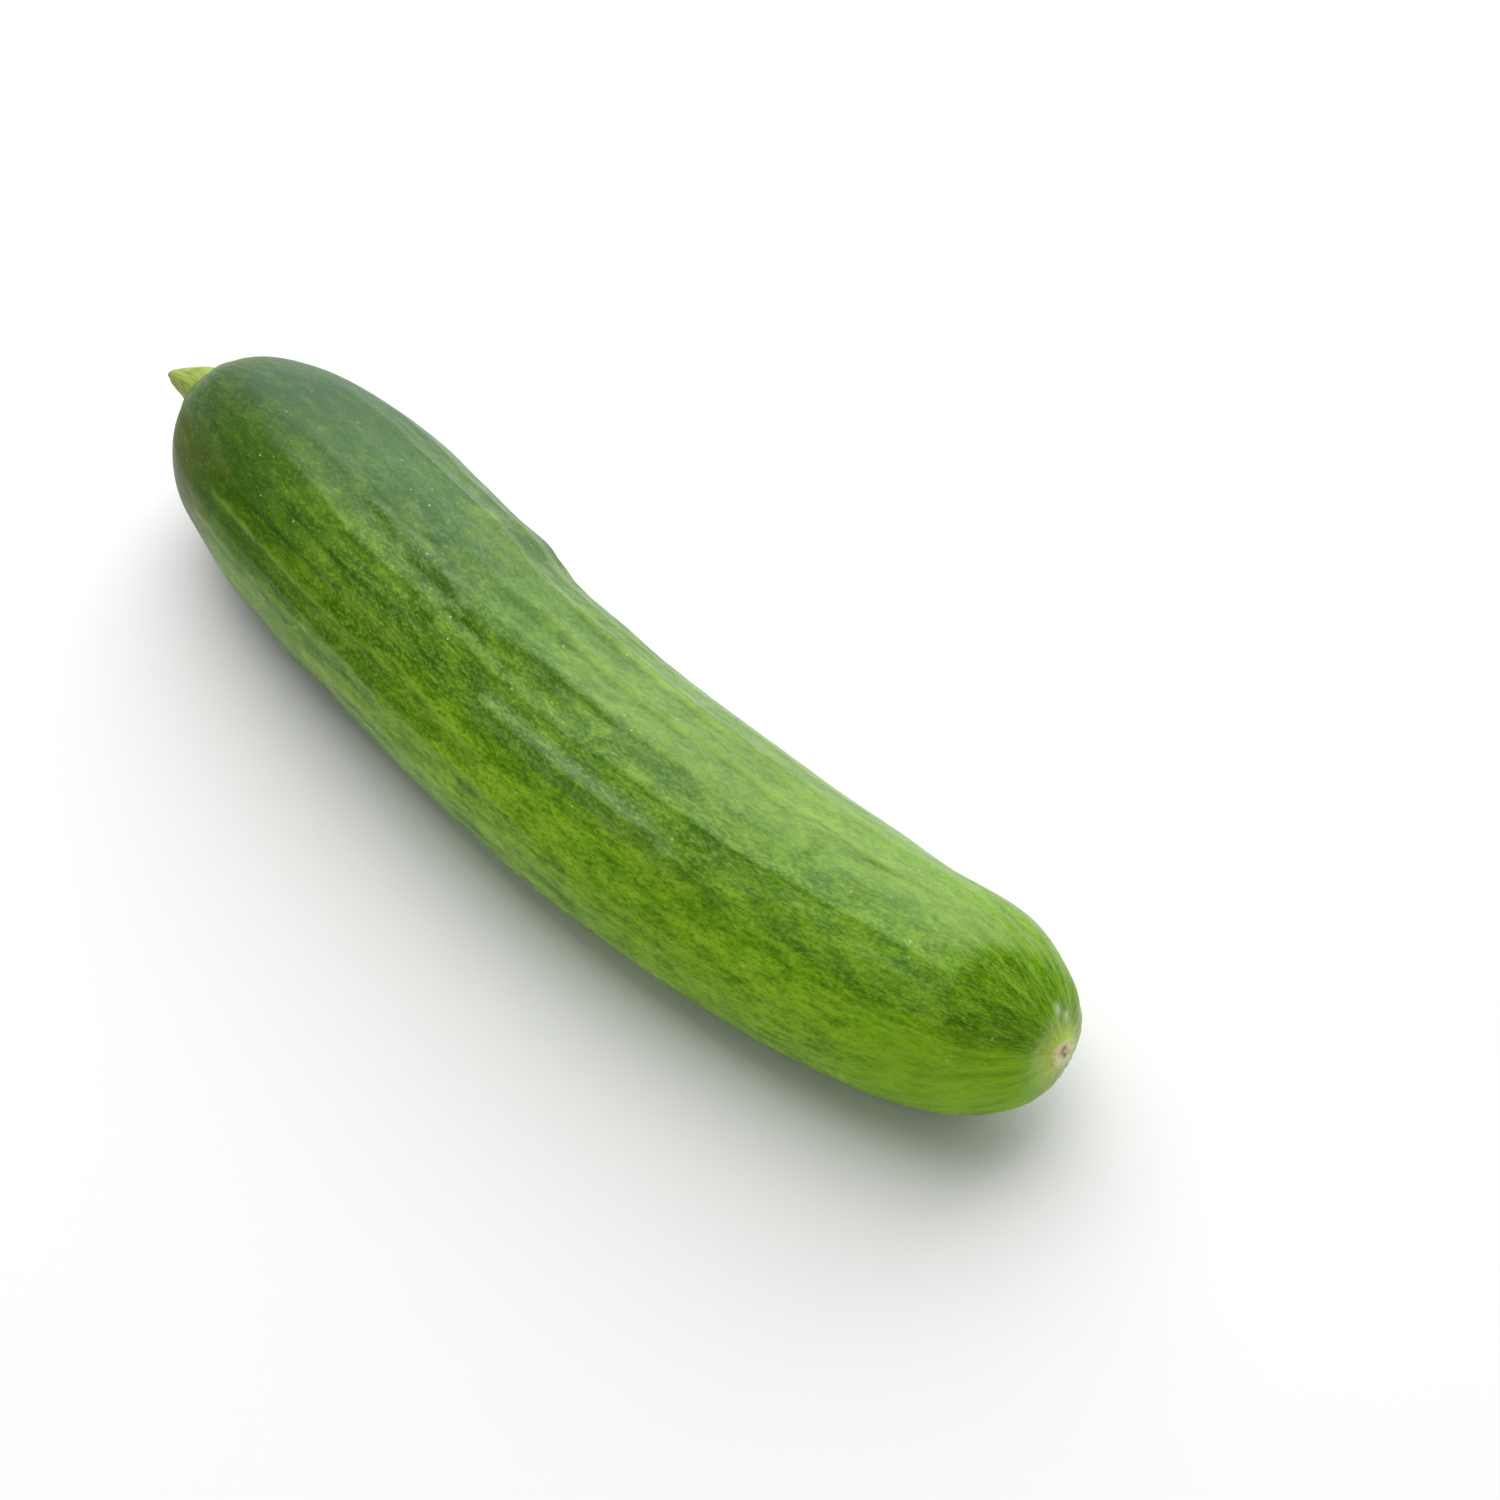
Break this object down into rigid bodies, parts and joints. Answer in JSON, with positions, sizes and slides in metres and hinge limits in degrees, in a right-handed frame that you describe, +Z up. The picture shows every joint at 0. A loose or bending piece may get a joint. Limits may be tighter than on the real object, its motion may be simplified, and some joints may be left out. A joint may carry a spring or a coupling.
{
  "type": "cucumber",
  "caption": "Short smooth-skinned slicing cucumber with a gentle bend, fine lengthwise ribs, a corky blossom scar and a stub of stem, lying on its side.",
  "frame": {"origin": "on the small flat that the fruit rests on, under the middle of its length", "axes": "+X from the stem end towards the blossom end, +Z up off the surface it lies on; the fruit's middle bows towards -Y"},
  "size_m": [0.1701, 0.0403, 0.0345],
  "materials": {
    "skin": "satin",
    "stem": "matte"
  },
  "bodies": {
    "root": {"fruit": "skin", "stem": "stem"}
  },
  "joints": []
}
